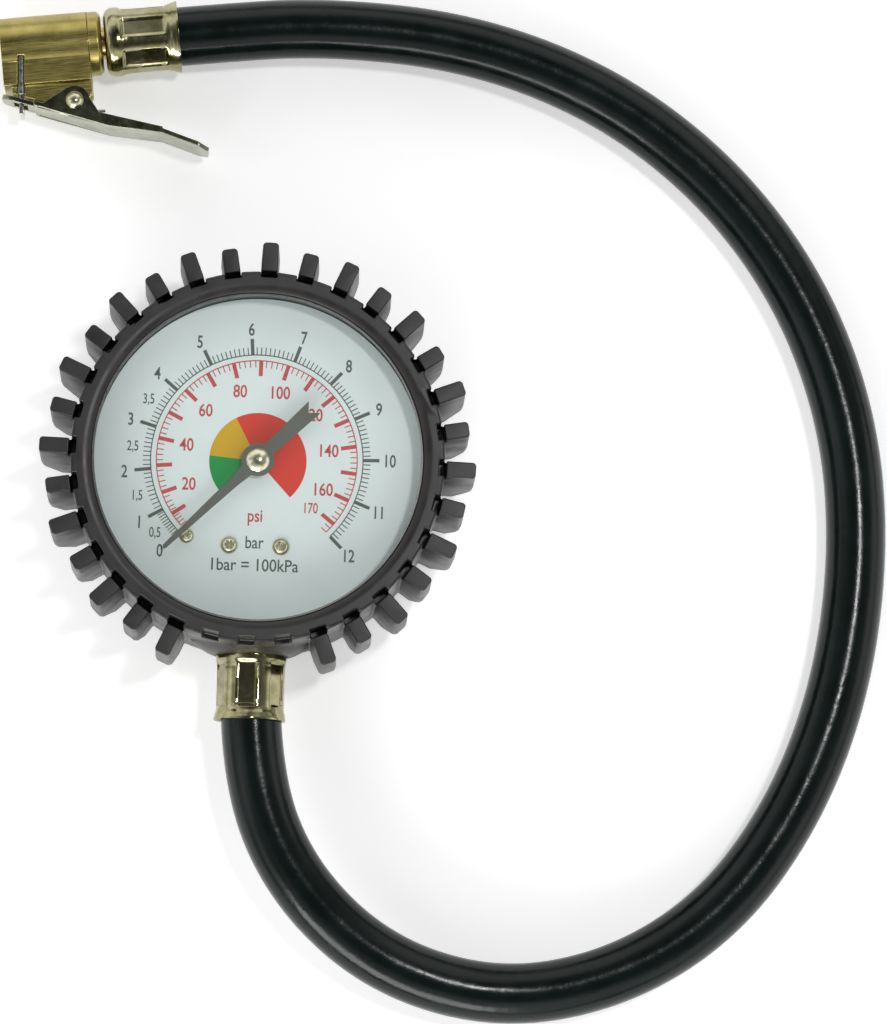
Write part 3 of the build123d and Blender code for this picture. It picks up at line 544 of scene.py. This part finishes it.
def make_ferrule(name, node, origin, direction, roll):
    """Ferrule along direction from origin, closed end first, rolled about its length in degrees."""
    along = Vector(direction).normalized()
    side = along.cross(Vector((0, 0, 1))).normalized()
    up = side.cross(along)
    stations = []
    for (u0, r0), (u1, r1) in zip(FERRULE_LINE, FERRULE_LINE[1:]):
        parts = max(1, math.ceil((u1 - u0) / RING_GAP))
        for k in range(parts):
            stations.append((u0 + (u1 - u0) * k / parts, r0 + (r1 - r0) * k / parts))
    stations.append(FERRULE_LINE[-1])
    bm = bmesh.new()

    def loop(u, radius_of):
        ring = []
        for i in range(FERRULE_STEPS):
            angle = 360.0 * i / FERRULE_STEPS
            turn = math.radians(angle + roll)
            radius = radius_of(angle)
            place = Vector(origin) + along * u + (side * math.cos(turn) + up * math.sin(turn)) * radius
            ring.append(bm.verts.new(place * MM))
        return ring

    rings = [loop(u, lambda a, u=u, r=r: ferrule_radius(u, r, a)) for u, r in stations]
    for u, r in FERRULE_INSIDE:
        rings.append(loop(u, lambda a, r=r: r))
    for a, b in zip(rings, rings[1:] + rings[:1]):
        for i in range(FERRULE_STEPS):
            j = (i + 1) % FERRULE_STEPS
            bm.faces.new((a[i], a[j], b[j], b[i]))
    piece = finish_piece(name, bm, ZINC, "root", 40.0)
    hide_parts(node)
    return piece


CHUCK_WAY = Vector((math.cos(math.radians(CHUCK_TURN)), math.sin(math.radians(CHUCK_TURN)), 0))

make_ferrule("gauge_ferrule_crimped", "gauge_ferrule", (0, GAUGE_FERRULE_Y, STEM_Z), (0, -1, 0), -7.0)
chuck_ferrule = make_ferrule("chuck_ferrule_crimped", "chuck_ferrule",
                             Vector(CHUCK_ORIGIN) + CHUCK_WAY * CHUCK_FERRULE_U, CHUCK_WAY, 12.0)


# ---------------------------------------------------------------- chuck and lever
chuck = softened("chuck_body", "chuck_brass_body", CHUCK, "root", 0.16)
lever = softened("lever", "lever_pressing", LEVER, "lever_body", 0.14)
claw = softened("claw", "claw_plate", STEEL, "claw_body", 0.12)


# ---------------------------------------------------------------- floor, light and world
FLOOR_HALF = 3.0            # metres
FLOOR_DROP = 0.0002         # metres below the object
FLOOR_GLOW = 0.36           # lifts the floor towards plain white paper


def make_floor():
    bm = bmesh.new()
    half = FLOOR_HALF
    corners = [(-half, -half), (half, -half), (half, half), (-half, half)]
    bm.faces.new([bm.verts.new((x, y, -FLOOR_DROP)) for x, y in corners])
    mesh = bpy.data.meshes.new("floor")
    bm.to_mesh(mesh)
    bm.free()
    m = Nodes("floor_paper")
    m.colour(m.ramp(m.noise(m.mapped(), 0.02, 2.0), (0.3, (0.90, 0.90, 0.90)), (0.7, (0.92, 0.92, 0.92))))
    m.shader.inputs["Roughness"].default_value = 0.8
    m.shader.inputs["Specular IOR Level"].default_value = 0.1
    m.shader.inputs["Emission Color"].default_value = (1.0, 1.0, 1.0, 1.0)
    m.shader.inputs["Emission Strength"].default_value = FLOOR_GLOW
    mesh.materials.append(m.material)
    floor = bpy.data.objects.new("floor", mesh)
    bpy.context.scene.collection.objects.link(floor)


LIGHT_AIM = (0.03, 0, 0.01)


def softbox(name, place, width, height, power):
    """Rectangular lamp in metres and watts, aimed at the gauge."""
    data = bpy.data.lights.new(name, "AREA")
    data.shape = "RECTANGLE"
    data.size, data.size_y = width, height
    data.energy = power
    light = bpy.data.objects.new(name, data)
    light.location = place
    light.rotation_euler = (Vector(LIGHT_AIM) - Vector(place)).to_track_quat("-Z", "Y").to_euler()
    bpy.context.scene.collection.objects.link(light)


# Brightness of the surroundings by height: bright walls and a darker ceiling, as in a light tent
WORLD_STOPS = ((0.0, 0.6), (0.3, 1.15), (0.66, 1.0), (0.9, 0.1))
# Soft patches over it, which give bright metal something to mirror
PATCH_SCALE = 1.9
PATCH_NOISE = (0.38, 0.6)
PATCH_BRIGHTNESS = (0.3, 1.3)


def make_world():
    world = bpy.data.worlds.new("studio")
    bpy.context.scene.world = world
    world.use_nodes = True
    tree = world.node_tree
    background = tree.nodes["Background"]
    place = tree.nodes.new("ShaderNodeTexCoord")
    split = tree.nodes.new("ShaderNodeSeparateXYZ")
    ramp = tree.nodes.new("ShaderNodeValToRGB")
    set_stops(ramp, [(height, (value,) * 3) for height, value in WORLD_STOPS])
    tree.links.new(place.outputs["Generated"], split.inputs["Vector"])
    tree.links.new(split.outputs["Z"], ramp.inputs["Fac"])
    patches = tree.nodes.new("ShaderNodeTexNoise")
    patches.inputs["Scale"].default_value = PATCH_SCALE
    patches.inputs["Detail"].default_value = 1.0
    tree.links.new(place.outputs["Generated"], patches.inputs["Vector"])
    depth = tree.nodes.new("ShaderNodeMapRange")
    depth.inputs["From Min"].default_value, depth.inputs["From Max"].default_value = PATCH_NOISE
    depth.inputs["To Min"].default_value, depth.inputs["To Max"].default_value = PATCH_BRIGHTNESS
    tree.links.new(patches.outputs["Fac"], depth.inputs["Value"])
    shaded = tree.nodes.new("ShaderNodeVectorMath")
    shaded.operation = "MULTIPLY"
    tree.links.new(ramp.outputs["Color"], shaded.inputs[0])
    tree.links.new(depth.outputs["Result"], shaded.inputs[1])
    tree.links.new(shaded.outputs["Vector"], background.inputs["Color"])
    background.inputs["Strength"].default_value = 1.0


make_floor()
make_world()
softbox("key", (-0.25, -0.95, 0.38), 0.8, 0.35, 7.0)
softbox("overhead", (0.31, 0.12, 1.15), 0.12, 0.12, 3.6)
bpy.context.scene.view_settings.view_transform = "Standard"
